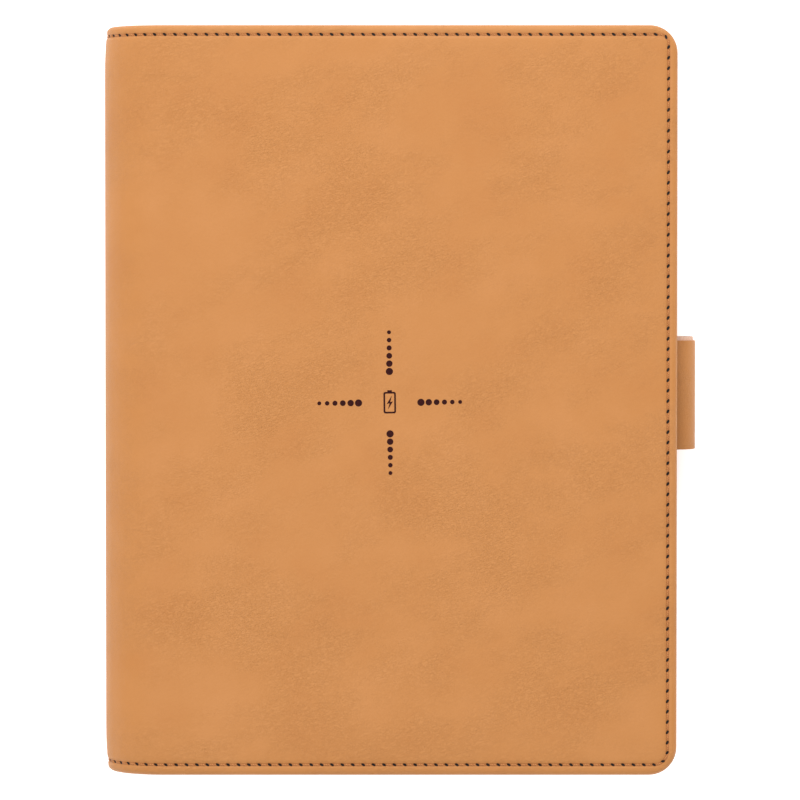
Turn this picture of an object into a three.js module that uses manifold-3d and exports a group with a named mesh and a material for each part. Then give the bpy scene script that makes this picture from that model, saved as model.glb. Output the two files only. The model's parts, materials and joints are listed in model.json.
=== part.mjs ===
// An A5 ring organiser with a wireless charging power bank in its front cover.
//
// Millimetres. The closed book lies on its back cover. +X runs from the spine to the fore
// edge, +Y to the head of the book, and +Z out of the front cover. The origin is on the
// outer face of the back cover, under the middle of the charging coil.

import * as THREE from 'three';
import { mergeVertices } from 'three/addons/utils/BufferGeometryUtils.js';
import Module from 'manifold-3d';

const wasm = await Module();
wasm.setup();

// ---------------------------------------------------------------- driving dimensions

const COVER_WIDTH = 176.2;
const COVER_HEIGHT = 230;
const BOOK_THICKNESS = 30;
const FORE_CORNER = 8.5;

const FORE_EDGE = 87.5;
const HEAD = COVER_HEIGHT / 2;

// The spine is half an ellipse: SPINE_DEPTH across the book, half the thickness up.
const SPINE_DEPTH = 19.2;
const SPINE_START = FORE_EDGE - COVER_WIDTH + SPINE_DEPTH;
const STAVES = 3;
const STAVE_TURN = 180 / (STAVES + 1);
const STAVE_GAP = 0.3;

// Layers from the outside of a cover to its inside, with a hair of room between them.
const LEATHER = 1.2;
const FOAM = 1;
const BOARD = 2;
const LINING = 0.8;
const SEAM = 0.05;

const SHEET_WIDTH = 142;
const SHEET_HEIGHT = 210;
const STACK_HEIGHT = 7.5;
const SHEET_CORNER = 3;
const PUNCH_RADIUS = 3;
const PUNCH_MARGIN = 6.2;
const PUNCH_SHIFT = 1.3;

const RING_X = -61.4;
const RING_PLACES = [-73, -54, -35, 35, 54, 73];
const WIRE_RADIUS = 1.3;
const RING_FOOT = 3.4;
const RING_HEIGHT = 17.4;
const RING_BULGE = 8.6;
const RIVET_PLACES = [-15, 15];

const POWER_BANK_WIDTH = 92;
const POWER_BANK_HEIGHT = 140;
const POWER_BANK_BOTTOM = 18.5;
const POWER_BANK_CORNER = 6;
const POWER_BANK_WALL = 1.3;
const FIT = 0.5;

const LOOP_OVERHANG = 6.9;
const LOOP_DIAMETER = 12.6;
const LOOP_LENGTH = 35;
const LOOP_MIDDLE = 2;
const LOOP_STRIP = 1.3;
const LOOP_TAIL = 14;

const POCKET_SHEET = 1.3;
const POCKET_LEFT = -50;
const POCKET_MOUTH = -22;
const POCKET_MARGIN = 4;

const ARC_STEPS = 6;

// ---------------------------------------------------------------- derived places

const BACK_BOARD_BOTTOM = LEATHER + SEAM;
const BACK_LINING_BOTTOM = BACK_BOARD_BOTTOM + BOARD + SEAM;
const BACK_INSIDE = BACK_LINING_BOTTOM + LINING;

const FRONT_FOAM_TOP = BOOK_THICKNESS - LEATHER - SEAM;
const FRONT_BOARD_TOP = FRONT_FOAM_TOP - FOAM - SEAM;
const FRONT_LINING_TOP = FRONT_BOARD_TOP - BOARD - SEAM;
const FRONT_INSIDE = FRONT_LINING_TOP - LINING;

const PLATE_HEIGHT = 3.2;
const MECHANISM_BASE = BACK_INSIDE + SEAM;
const STACK_BOTTOM = MECHANISM_BASE + PLATE_HEIGHT + 0.8;

// ---------------------------------------------------------------- materials

function material(colour, roughness, metalness = 0) {
  return new THREE.MeshStandardMaterial({ color: colour, roughness, metalness });
}

const FINISHES = {
  leather: () => material(0xd18e55, 0.55),
  suede: () => material(0xb98a5c, 0.9),
  foam: () => material(0xe8e0cc, 0.95),
  card: () => material(0x9a8f80, 0.9),
  paper: () => material(0xf6f1e3, 0.9),
  steel: () => material(0xc9ccd0, 0.25, 1),
  blackPlastic: () => material(0x26272a, 0.5),
  greyPlastic: () => material(0x6a6e73, 0.45),
  clearPlastic: () => material(0xe9f2f5, 0.2),
  copper: () => material(0xb87333, 0.35, 1),
  ferrite: () => material(0x3b3b3f, 0.7),
  circuit: () => material(0x1f6b43, 0.5),
  foil: () => material(0xb9bcc2, 0.35, 0.6),
};

function piece(name, geometry, finish, place = [0, 0, 0]) {
  const mesh = new THREE.Mesh(geometry, FINISHES[finish]());
  mesh.name = name;
  mesh.position.set(...place);
  return mesh;
}

// ---------------------------------------------------------------- cutting and joining

function solidOf(geometry) {
  const bare = geometry.clone();
  bare.deleteAttribute('normal');
  bare.deleteAttribute('uv');
  const welded = mergeVertices(bare, 1e-4);
  const mesh = new wasm.Mesh({
    numProp: 3,
    vertProperties: Float32Array.from(welded.attributes.position.array),
    triVerts: Uint32Array.from(welded.index.array),
  });
  return new wasm.Manifold(mesh);
}

function geometryOf(solid) {
  const mesh = solid.getMesh();
  const geometry = new THREE.BufferGeometry();
  geometry.setAttribute('position', new THREE.BufferAttribute(mesh.vertProperties, 3));
  geometry.setIndex(new THREE.BufferAttribute(mesh.triVerts, 1));
  geometry.computeVertexNormals();
  return geometry;
}

function cut(geometry, ...tools) {
  let solid = solidOf(geometry);
  for (const tool of tools) {
    solid = solid.subtract(solidOf(tool));
  }
  return geometryOf(solid);
}

function join(geometry, ...others) {
  let solid = solidOf(geometry);
  for (const other of others) {
    solid = solid.add(solidOf(other));
  }
  return geometryOf(solid);
}

// ---------------------------------------------------------------- basic forms

// An outline in X and Y, raised from one height to another.
function slab(outline, bottom, top) {
  const geometry = new THREE.ExtrudeGeometry(outline, {
    depth: top - bottom,
    bevelEnabled: false,
    curveSegments: ARC_STEPS,
  });
  return geometry.translate(0, 0, bottom);
}

// An outline in X and Z, drawn out along Y.
function alongBook(outline, low, high) {
  const geometry = new THREE.ExtrudeGeometry(outline, {
    depth: high - low,
    bevelEnabled: false,
    curveSegments: ARC_STEPS,
  });
  geometry.rotateX(Math.PI / 2);
  return geometry.translate(0, high, 0);
}

function block(x, y, z) {
  const geometry = new THREE.BoxGeometry(x[1] - x[0], y[1] - y[0], z[1] - z[0]);
  return geometry.translate((x[0] + x[1]) / 2, (y[0] + y[1]) / 2, (z[0] + z[1]) / 2);
}

function disc(radius, bottom, top, x = 0, y = 0, sides = 20) {
  const geometry = new THREE.CylinderGeometry(radius, radius, top - bottom, sides);
  geometry.rotateX(Math.PI / 2);
  return geometry.translate(x, y, (bottom + top) / 2);
}

// A turned piece, from a profile of [radius, height] points.
function turned(profile, sides = 20) {
  const points = profile.map(([radius, height]) => new THREE.Vector2(radius, height));
  const geometry = new THREE.LatheGeometry(points, sides);
  return geometry.rotateX(Math.PI / 2);
}

// Square corners at the spine, round ones at the fore edge.
function coverOutline(left, right, half, corner) {
  const outline = new THREE.Shape();
  outline.moveTo(left, -half);
  outline.lineTo(right - corner, -half);
  outline.absarc(right - corner, -half + corner, corner, -Math.PI / 2, 0, false);
  outline.absarc(right - corner, half - corner, corner, 0, Math.PI / 2, false);
  outline.lineTo(left, half);
  outline.closePath();
  return outline;
}

function roundedOutline(halfWidth, halfHeight, corner) {
  const outline = new THREE.Shape();
  const x = halfWidth - corner;
  const y = halfHeight - corner;
  outline.absarc(x, -y, corner, -Math.PI / 2, 0, false);
  outline.absarc(x, y, corner, 0, Math.PI / 2, false);
  outline.absarc(-x, y, corner, Math.PI / 2, Math.PI, false);
  outline.absarc(-x, -y, corner, Math.PI, Math.PI * 1.5, false);
  outline.closePath();
  return outline;
}

// ---------------------------------------------------------------- the spine's curve

// The point of the spine where its surface has turned by so many degrees from the back
// cover (0) to the front cover (180), moved inwards by inset.
function spinePoint(turn, inset) {
  const angle = THREE.MathUtils.degToRad(turn);
  const half = BOOK_THICKNESS / 2;
  const along = Math.atan2(SPINE_DEPTH * Math.sin(angle), half * Math.cos(angle));
  return new THREE.Vector2(
    SPINE_START - SPINE_DEPTH * Math.sin(along) + inset * Math.sin(angle),
    half - half * Math.cos(along) + inset * Math.cos(angle),
  );
}

function spineLine(from, to, inset) {
  const points = [];
  for (let step = 0; step <= ARC_STEPS; step += 1) {
    points.push(spinePoint(from + ((to - from) * step) / ARC_STEPS, inset));
  }
  return points;
}

// One layer of the spine between two turns, drawn out along the book.
function spineLayer(from, to, outer, inner, half) {
  const outline = new THREE.Shape([
    ...spineLine(from, to, outer),
    ...spineLine(to, from, inner),
  ]);
  return alongBook(outline, -half, half);
}

// How many degrees of the spine a gap of the given width takes up.
function gapTurn(turn) {
  const reach = spinePoint(turn + 1, 0).distanceTo(spinePoint(turn, 0));
  return STAVE_GAP / 2 / reach;
}

// Where each stave ends and the next begins.
const HINGE_TURNS = Array.from({ length: STAVES + 1 }, (_, index) => (index + 0.5) * STAVE_TURN);
const BACK_LIP = HINGE_TURNS[0] - gapTurn(HINGE_TURNS[0]);
const FRONT_LIP = HINGE_TURNS[STAVES] + gapTurn(HINGE_TURNS[STAVES]);

// ---------------------------------------------------------------- covers

// A leather tray: a face with walls at head, tail and fore edge, and a curved lip that
// starts the spine. The face is at outside, and the walls end at inside.
function leatherTray(outside, inside, lipFrom, lipTo) {
  const low = Math.min(outside, inside);
  const high = Math.max(outside, inside);
  const faceBack = outside < inside ? outside + LEATHER : outside - LEATHER;
  const body = slab(coverOutline(SPINE_START, FORE_EDGE, HEAD, FORE_CORNER), low, high);
  const inner = coverOutline(
    SPINE_START - 1,
    FORE_EDGE - LEATHER,
    HEAD - LEATHER,
    FORE_CORNER - LEATHER,
  );
  const hollow = outside < inside
    ? slab(inner, faceBack, inside + 1)
    : slab(inner, inside - 1, faceBack);
  const bridge = block(
    [SPINE_START - SEAM, SPINE_START + SEAM],
    [-HEAD, HEAD],
    [Math.min(outside, faceBack), Math.max(outside, faceBack)],
  );
  const lip = spineLayer(lipFrom, lipTo, 0, LEATHER, HEAD);
  return join(cut(body, hollow), bridge, lip);
}

function coverSheet(bottom, top, left = SPINE_START) {
  const room = LEATHER + SEAM;
  return slab(coverOutline(left, FORE_EDGE - room, HEAD - room, FORE_CORNER - room), bottom, top);
}

// A lining runs on round the start of the spine.
function coverLining(bottom, top, lipFrom, lipTo, outer) {
  const room = LEATHER + SEAM;
  const bridge = block(
    [SPINE_START - SEAM, SPINE_START + SEAM],
    [-HEAD + room, HEAD - room],
    [bottom, top],
  );
  const lip = spineLayer(lipFrom, lipTo, outer, outer + LINING, HEAD - room);
  return join(coverSheet(bottom, top), bridge, lip);
}

function rivetHoles() {
  return RIVET_PLACES.map((y) => disc(RIVET_SHANK + 0.3, 0, MECHANISM_BASE, RING_X, y));
}

function backPocket() {
  const rim = 3;
  const right = FORE_EDGE - POCKET_MARGIN;
  const tail = -HEAD + POCKET_MARGIN;
  const bottom = BACK_INSIDE + SEAM;
  const flap = block([POCKET_LEFT, right], [tail, POCKET_MOUTH], [bottom, bottom + POCKET_SHEET]);
  const room = block(
    [POCKET_LEFT + rim, right - rim],
    [tail + rim, POCKET_MOUTH + 1],
    [bottom - 1, bottom + 0.5],
  );
  return cut(flap, room);
}

// A strip wrapped into a loop past the fore edge, with its tail glued to the lining.
function penLoop() {
  const strip = LOOP_STRIP;
  const radius = LOOP_DIAMETER / 2;
  const middle = FORE_EDGE + LOOP_OVERHANG - radius;
  const bottom = BACK_INSIDE + SEAM;
  const tailEnd = middle - radius - LOOP_TAIL;
  const outline = new THREE.Shape();
  outline.moveTo(tailEnd, bottom);
  outline.lineTo(middle, bottom);
  outline.absarc(middle, bottom + radius, radius, -Math.PI / 2, Math.PI, false);
  outline.lineTo(middle - radius, bottom + strip * 2);
  outline.lineTo(middle - radius - 1, bottom + strip);
  outline.lineTo(tailEnd, bottom + strip);
  outline.closePath();
  const bore = new THREE.Path();
  bore.absarc(middle, bottom + radius, radius - strip, 0, Math.PI * 2, false);
  outline.holes.push(bore);
  const geometry = new THREE.ExtrudeGeometry(outline, {
    depth: LOOP_LENGTH,
    bevelEnabled: false,
    curveSegments: ARC_STEPS * 4,
  });
  geometry.rotateX(Math.PI / 2);
  return geometry.translate(0, LOOP_MIDDLE + LOOP_LENGTH / 2, 0);
}

function backCover() {
  const group = new THREE.Group();
  const board = cut(coverSheet(BACK_BOARD_BOTTOM, BACK_BOARD_BOTTOM + BOARD), ...rivetHoles());
  const lining = coverLining(BACK_LINING_BOTTOM, BACK_INSIDE, 0, BACK_LIP, BACK_LINING_BOTTOM);
  group.add(
    piece('back_cover_leather', leatherTray(0, BACK_INSIDE, 0, BACK_LIP), 'leather'),
    piece('back_cover_board', board, 'card'),
    piece('back_lining', cut(lining, ...rivetHoles()), 'suede'),
    piece('back_pocket', backPocket(), 'suede'),
    piece('pen_loop', penLoop(), 'leather'),
  );
  return group;
}

function spine() {
  const group = new THREE.Group();
  const room = LEATHER + SEAM;
  for (let stave = 0; stave < STAVES; stave += 1) {
    const from = HINGE_TURNS[stave] + gapTurn(HINGE_TURNS[stave]);
    const to = HINGE_TURNS[stave + 1] - gapTurn(HINGE_TURNS[stave + 1]);
    const half = HEAD - room;
    const leather = spineLayer(from, to, 0, LEATHER, HEAD);
    const stiffener = spineLayer(from, to, BACK_BOARD_BOTTOM, BACK_BOARD_BOTTOM + BOARD, half);
    const lining = spineLayer(from, to, BACK_LINING_BOTTOM, BACK_INSIDE, half);
    group.add(
      piece(`spine_leather_${stave + 1}`, leather, 'leather'),
      piece(`spine_stiffener_${stave + 1}`, stiffener, 'card'),
      piece(`spine_lining_${stave + 1}`, lining, 'suede'),
    );
  }
  return group;
}

function frontCover() {
  const group = new THREE.Group();
  const window = slab(
    roundedOutline(POWER_BANK_WIDTH / 2 + FIT, POWER_BANK_HEIGHT / 2 + FIT, POWER_BANK_CORNER),
    FRONT_INSIDE - 1,
    FRONT_BOARD_TOP + SEAM / 2,
  );
  const liningDepth = BOOK_THICKNESS - FRONT_LINING_TOP;
  const lining = coverLining(FRONT_INSIDE, FRONT_LINING_TOP, FRONT_LIP, 180, liningDepth);
  const tray = leatherTray(BOOK_THICKNESS, FRONT_INSIDE, FRONT_LIP, 180);
  const board = cut(coverSheet(FRONT_BOARD_TOP - BOARD, FRONT_BOARD_TOP), window);
  group.add(
    piece('front_cover_leather', tray, 'leather'),
    piece('front_foam_pad', coverSheet(FRONT_FOAM_TOP - FOAM, FRONT_FOAM_TOP), 'foam'),
    piece('front_cover_board', board, 'card'),
    piece('front_lining', cut(lining, window), 'suede'),
  );
  return group;
}

// ---------------------------------------------------------------- ring mechanism

const PLATE_HALF_WIDTH = 6.2;
const PLATE_HALF_LENGTH = 104;
const PLATE_SHEET = 0.6;
const LEVER_PIVOT_Y = PLATE_HALF_LENGTH + 2.2;
const LEVER_PIVOT_Z = 1.35;
const CARRIER_OUTER = 5.3;
const CARRIER_BOTTOM = 0.15;
const CARRIER_SHEET = 0.6;
const RIVET_SHANK = 1.4;

// The mechanism is drawn around its own middle, standing on z = 0.

// A domed steel channel with slots for the rings, and low cheeks for the levers.
function basePlate() {
  const shoulder = 1.6;
  const shoulderInside = shoulder - PLATE_SHEET / 2;
  const slotBottom = 1.2;
  const halfInside = PLATE_HALF_WIDTH - PLATE_SHEET;
  const crown = 2 * PLATE_HEIGHT - shoulder;
  const crownInside = crown - 2 * PLATE_SHEET;
  const outline = new THREE.Shape();
  outline.moveTo(-PLATE_HALF_WIDTH, 0);
  outline.lineTo(-halfInside, 0);
  outline.lineTo(-halfInside, shoulderInside);
  outline.quadraticCurveTo(0, crownInside, halfInside, shoulderInside);
  outline.lineTo(halfInside, 0);
  outline.lineTo(PLATE_HALF_WIDTH, 0);
  outline.lineTo(PLATE_HALF_WIDTH, shoulder);
  outline.quadraticCurveTo(0, crown, -PLATE_HALF_WIDTH, shoulder);
  outline.closePath();
  const cheekEnd = LEVER_PIVOT_Y + 2;
  const channel = alongBook(outline, -cheekEnd, cheekEnd);
  const tools = [-1, 1].map((end) => {
    const reach = [end * PLATE_HALF_LENGTH, end * (cheekEnd + 1)];
    return block(
      [-PLATE_HALF_WIDTH - 1, PLATE_HALF_WIDTH + 1],
      [Math.min(...reach), Math.max(...reach)],
      [shoulderInside, PLATE_HEIGHT + 1],
    );
  });
  for (const y of RING_PLACES) {
    for (const side of [-1, 1]) {
      const inner = side * (RING_FOOT - WIRE_RADIUS - 0.4);
      const outer = side * (PLATE_HALF_WIDTH + 1);
      tools.push(block(
        [Math.min(inner, outer), Math.max(inner, outer)],
        [y - WIRE_RADIUS - 0.5, y + WIRE_RADIUS + 0.5],
        [slotBottom, PLATE_HEIGHT + 1],
      ));
    }
  }
  for (const y of RIVET_PLACES) {
    tools.push(disc(RIVET_SHANK + 0.3, 0, PLATE_HEIGHT + 1, 0, y));
  }
  return cut(channel, ...tools);
}

// One of the two flat strips under the plate. It swings about its outer edge.
function carrier(side) {
  const inner = side * 0.1;
  const outer = side * CARRIER_OUTER;
  const reach = PLATE_HALF_LENGTH - 1;
  const strip = block(
    [Math.min(inner, outer), Math.max(inner, outer)],
    [-reach, reach],
    [CARRIER_BOTTOM, CARRIER_BOTTOM + CARRIER_SHEET],
  );
  const notches = RIVET_PLACES.map((y) => disc(RIVET_SHANK + 0.6, -1, 2, 0, y));
  return cut(strip, ...notches);
}

function wireSection() {
  const sides = 8;
  const corners = Array.from({ length: sides }, (_, index) => {
    const angle = ((index + 0.5) * 2 * Math.PI) / sides;
    return new THREE.Vector2(WIRE_RADIUS * Math.cos(angle), WIRE_RADIUS * Math.sin(angle));
  });
  return new THREE.Shape(corners);
}

function wire(path, steps) {
  return new THREE.ExtrudeGeometry(wireSection(), {
    extrudePath: path,
    steps,
    bevelEnabled: false,
  });
}

const RING_ROOT = CARRIER_BOTTOM + CARRIER_SHEET + SEAM;
const RING_TIP_GAP = 0.08;

// Squares off a half ring at its root and where its tip meets the other half.
function trimmed(geometry, side) {
  const spare = 3;
  const beyond = [-side * spare, side * RING_TIP_GAP];
  const tip = block(
    [Math.min(...beyond), Math.max(...beyond)],
    [-spare, spare],
    [RING_HEIGHT - spare, RING_HEIGHT + spare],
  );
  const root = block(
    [-2 * RING_BULGE, 2 * RING_BULGE],
    [-spare, spare],
    [RING_ROOT - spare, RING_ROOT],
  );
  return cut(geometry, tip, root);
}

// The straight side of the D, towards the fore edge: a post with a quarter bend on top.
function straightHalf() {
  const at = (x, z) => new THREE.Vector3(x, 0, z);
  const bendStart = RING_HEIGHT - RING_FOOT;
  const path = new THREE.CurvePath();
  path.add(new THREE.LineCurve3(at(RING_FOOT, RING_ROOT - 0.5), at(RING_FOOT, bendStart)));
  const bend = [];
  for (let step = 0; step <= ARC_STEPS; step += 1) {
    const angle = (step * Math.PI) / 2 / ARC_STEPS;
    bend.push(at(RING_FOOT * Math.cos(angle), bendStart + RING_FOOT * Math.sin(angle)));
  }
  bend.push(at(-1, RING_HEIGHT));
  path.add(new THREE.CatmullRomCurve3(bend));
  return trimmed(wire(path, 15), 1);
}

// The bowed side of the D, towards the spine.
function bowedHalf() {
  const path = new THREE.CatmullRomCurve3([
    new THREE.Vector3(-RING_FOOT, 0, RING_ROOT - 0.5),
    new THREE.Vector3(-RING_FOOT - 0.2, 0, 2.6),
    new THREE.Vector3(-RING_BULGE + 1.2, 0, 6.2),
    new THREE.Vector3(-RING_BULGE, 0, 10.4),
    new THREE.Vector3(-RING_BULGE + 1.9, 0, 14.6),
    new THREE.Vector3(-RING_FOOT, 0, RING_HEIGHT - 0.4),
    new THREE.Vector3(0, 0, RING_HEIGHT),
    new THREE.Vector3(1, 0, RING_HEIGHT),
  ]);
  return trimmed(wire(path, 15), -1);
}

// A thumb tab on a barrel that turns between the cheeks of the plate.
function lever(end) {
  const halfWidth = PLATE_HALF_WIDTH - PLATE_SHEET - 0.3;
  const barrel = new THREE.CylinderGeometry(1, 1, 2 * halfWidth, 12);
  barrel.rotateZ(Math.PI / 2);
  barrel.translate(0, end * LEVER_PIVOT_Y, LEVER_PIVOT_Z);
  const outline = roundedOutline(halfWidth - 0.6, 4.2, 2.6);
  const tab = slab(outline, -0.55, 0.55);
  tab.rotateX(Math.PI / 2);
  tab.translate(0, end * LEVER_PIVOT_Y, LEVER_PIVOT_Z + 4.3);
  return join(barrel, tab);
}

function rivet(y) {
  const head = PLATE_HEIGHT + SEAM;
  const tip = BACK_BOARD_BOTTOM + 0.1 - MECHANISM_BASE;
  const geometry = turned([
    [0, tip],
    [RIVET_SHANK, tip],
    [RIVET_SHANK, head],
    [2.5, head],
    [1.9, head + 0.45],
    [0, head + 0.6],
  ]);
  return geometry.translate(0, y, 0);
}

function ringMechanism() {
  const group = new THREE.Group();
  group.position.set(RING_X, 0, MECHANISM_BASE);
  group.add(
    piece('ring_base_plate', basePlate(), 'steel'),
    piece('ring_carrier_left', carrier(-1), 'steel'),
    piece('ring_carrier_right', carrier(1), 'steel'),
    piece('ring_lever_head', lever(1), 'steel'),
    piece('ring_lever_tail', lever(-1), 'steel'),
  );
  RING_PLACES.forEach((y, index) => {
    group.add(piece(`ring_left_${index + 1}`, bowedHalf(), 'steel', [0, y, 0]));
    group.add(piece(`ring_right_${index + 1}`, straightHalf(), 'steel', [0, y, 0]));
  });
  RIVET_PLACES.forEach((y, index) => {
    group.add(piece(`ring_rivet_${index + 1}`, rivet(y), 'steel'));
  });
  return group;
}

// A stack of punched sheets on the straight sides of the rings.
function paperStack() {
  const punchX = RING_X + RING_FOOT + PUNCH_SHIFT;
  const middle = punchX - PUNCH_MARGIN + SHEET_WIDTH / 2;
  const outline = roundedOutline(SHEET_WIDTH / 2, SHEET_HEIGHT / 2, SHEET_CORNER);
  for (const y of RING_PLACES) {
    const hole = new THREE.Path();
    hole.absarc(punchX - middle, y, PUNCH_RADIUS, 0, Math.PI * 2, false);
    outline.holes.push(hole);
  }
  const geometry = new THREE.ExtrudeGeometry(outline, {
    depth: STACK_HEIGHT,
    bevelEnabled: false,
    curveSegments: 12,
  });
  return piece('paper_stack', geometry, 'paper', [middle, 0, STACK_BOTTOM]);
}

// ---------------------------------------------------------------- power bank

const SHELL_SPLIT = 23.1;
const SHELL_FLOOR = POWER_BANK_BOTTOM + POWER_BANK_WALL;
const SHELL_CEILING = FRONT_BOARD_TOP - POWER_BANK_WALL;
const SCREW_PLACES = [[-40, -64], [40, -64], [40, 64], [-40, 64]];
const SCREW_SHANK = 0.9;
const SCREW_HEAD = 2.4;
const BOSS_RADIUS = 2.6;
const COIL_RADIUS = 22;
const COIL_EYE = 10;
const BUTTON_PLACE = [30, -56];
const BUTTON_RADIUS = 3.9;
const LAMP_PLACES = [8, 13, 18, 23];
const LAMP_RADIUS = 1;
const TAIL_WALL = -POWER_BANK_HEIGHT / 2;
const USB_A = { x: -14, width: 13.2, height: 5.5, depth: 14 };
const USB_C = { x: 4, width: 8.9, height: 3.2, depth: 7.5 };
const CIRCUIT_BOTTOM = 25.5;
const CIRCUIT_SHEET = 0.9;
const SWITCH_BOTTOM = 23.7;
const STEM_TOP = SWITCH_BOTTOM - 0.8;

function shellTray(low, high, floorLow, floorHigh) {
  const outer = roundedOutline(POWER_BANK_WIDTH / 2, POWER_BANK_HEIGHT / 2, POWER_BANK_CORNER);
  const inner = roundedOutline(
    POWER_BANK_WIDTH / 2 - POWER_BANK_WALL,
    POWER_BANK_HEIGHT / 2 - POWER_BANK_WALL,
    POWER_BANK_CORNER - POWER_BANK_WALL,
  );
  return cut(slab(outer, low, high), slab(inner, floorLow, floorHigh));
}

// Clearance for a socket through the tail wall of the case.
function socketDoor(socket) {
  const half = socket.width / 2 + 0.3;
  return block(
    [socket.x - half, socket.x + half],
    [TAIL_WALL - 1, TAIL_WALL + POWER_BANK_WALL + 0.5],
    [CIRCUIT_BOTTOM - SEAM - socket.height - 0.3, CIRCUIT_BOTTOM - SEAM + 0.3],
  );
}

function caseTop() {
  const ceiling = SHELL_CEILING;
  const tray = shellTray(SHELL_SPLIT, FRONT_BOARD_TOP, SHELL_SPLIT - 1, ceiling);
  const bosses = SCREW_PLACES.map(([x, y]) => (
    disc(BOSS_RADIUS, SHELL_FLOOR + 0.1, ceiling + 0.2, x, y, 16)
  ));
  const bores = SCREW_PLACES.map(([x, y]) => (
    disc(SCREW_SHANK + 0.3, SHELL_FLOOR - 1, ceiling - 0.6, x, y, 12)
  ));
  return cut(join(tray, ...bosses), ...bores, socketDoor(USB_A), socketDoor(USB_C));
}

function caseBottom() {
  const below = POWER_BANK_BOTTOM - 1;
  const tray = shellTray(POWER_BANK_BOTTOM, SHELL_SPLIT - SEAM, SHELL_FLOOR, SHELL_SPLIT + 1);
  const tools = [socketDoor(USB_A), socketDoor(USB_C)];
  for (const [x, y] of SCREW_PLACES) {
    tools.push(disc(SCREW_SHANK + 0.4, below, SHELL_FLOOR + 1, x, y, 12));
    tools.push(disc(SCREW_HEAD + 0.3, below, POWER_BANK_BOTTOM + 0.75, x, y, 16));
  }
  tools.push(disc(BUTTON_RADIUS + 0.3, below, SHELL_FLOOR + 1, ...BUTTON_PLACE, 24));
  for (const x of LAMP_PLACES) {
    tools.push(disc(LAMP_RADIUS + 0.3, below, SHELL_FLOOR + 1, x, BUTTON_PLACE[1], 12));
  }
  return cut(tray, ...tools);
}

function caseScrew() {
  const headBottom = POWER_BANK_BOTTOM + 0.05;
  return turned([
    [0, headBottom],
    [SCREW_HEAD - 0.4, headBottom],
    [SCREW_HEAD, headBottom + 0.3],
    [SCREW_HEAD, headBottom + 0.6],
    [SCREW_SHANK, headBottom + 0.6],
    [SCREW_SHANK, SHELL_CEILING - 1.4],
    [0, SHELL_CEILING - 0.9],
  ], 16);
}

// A cap flush with the case, a flange that keeps it in, and a stem to the switch.
function powerButton() {
  const flangeBottom = SHELL_FLOOR + 0.1;
  return turned([
    [0, POWER_BANK_BOTTOM - 0.3],
    [BUTTON_RADIUS - 0.5, POWER_BANK_BOTTOM - 0.3],
    [BUTTON_RADIUS, POWER_BANK_BOTTOM],
    [BUTTON_RADIUS, flangeBottom],
    [BUTTON_RADIUS + 1.2, flangeBottom],
    [BUTTON_RADIUS + 1.2, flangeBottom + 0.8],
    [1.5, flangeBottom + 0.8],
    [1.5, STEM_TOP],
    [0, STEM_TOP],
  ], 24);
}

// A clear bar behind the case with a short post in each of its four lamp holes.
function lightGuide() {
  const y = BUTTON_PLACE[1];
  const bar = block(
    [LAMP_PLACES[0] - 2, LAMP_PLACES[LAMP_PLACES.length - 1] + 1.6],
    [y - 1.8, y + 1.8],
    [SHELL_FLOOR + 0.1, SHELL_FLOOR + 1.5],
  );
  const posts = LAMP_PLACES.map((x) => (
    disc(LAMP_RADIUS, POWER_BANK_BOTTOM, SHELL_FLOOR + 1, x, y, 12)
  ));
  return join(bar, ...posts);
}

// A socket open towards the tail, with a tongue standing on its back wall.
function socket(port, tongueWidth, tongueHeight) {
  const wall = 0.4;
  const top = CIRCUIT_BOTTOM - SEAM;
  const bottom = top - port.height;
  const front = TAIL_WALL + 0.2;
  const back = front + port.depth;
  const half = port.width / 2;
  const x = [port.x - half, port.x + half];
  const shell = block(x, [front, back], [bottom, top]);
  const hollow = block(
    [x[0] + wall, x[1] - wall],
    [front - 1, back - 1.5],
    [bottom + wall, top - wall],
  );
  const middle = (bottom + top) / 2;
  const tongue = block(
    [port.x - tongueWidth / 2, port.x + tongueWidth / 2],
    [front + 1, back - 1],
    [middle - tongueHeight / 2, middle + tongueHeight / 2],
  );
  return join(cut(shell, hollow), tongue);
}

function coil() {
  const outline = new THREE.Shape();
  outline.absarc(0, 0, COIL_RADIUS, 0, Math.PI * 2, false);
  const eye = new THREE.Path();
  eye.absarc(0, 0, COIL_EYE, 0, Math.PI * 2, false);
  outline.holes.push(eye);
  const geometry = new THREE.ExtrudeGeometry(outline, {
    depth: 1,
    bevelEnabled: false,
    curveSegments: 32,
  });
  return geometry.translate(0, 0, SHELL_CEILING - 1.05);
}

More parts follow.
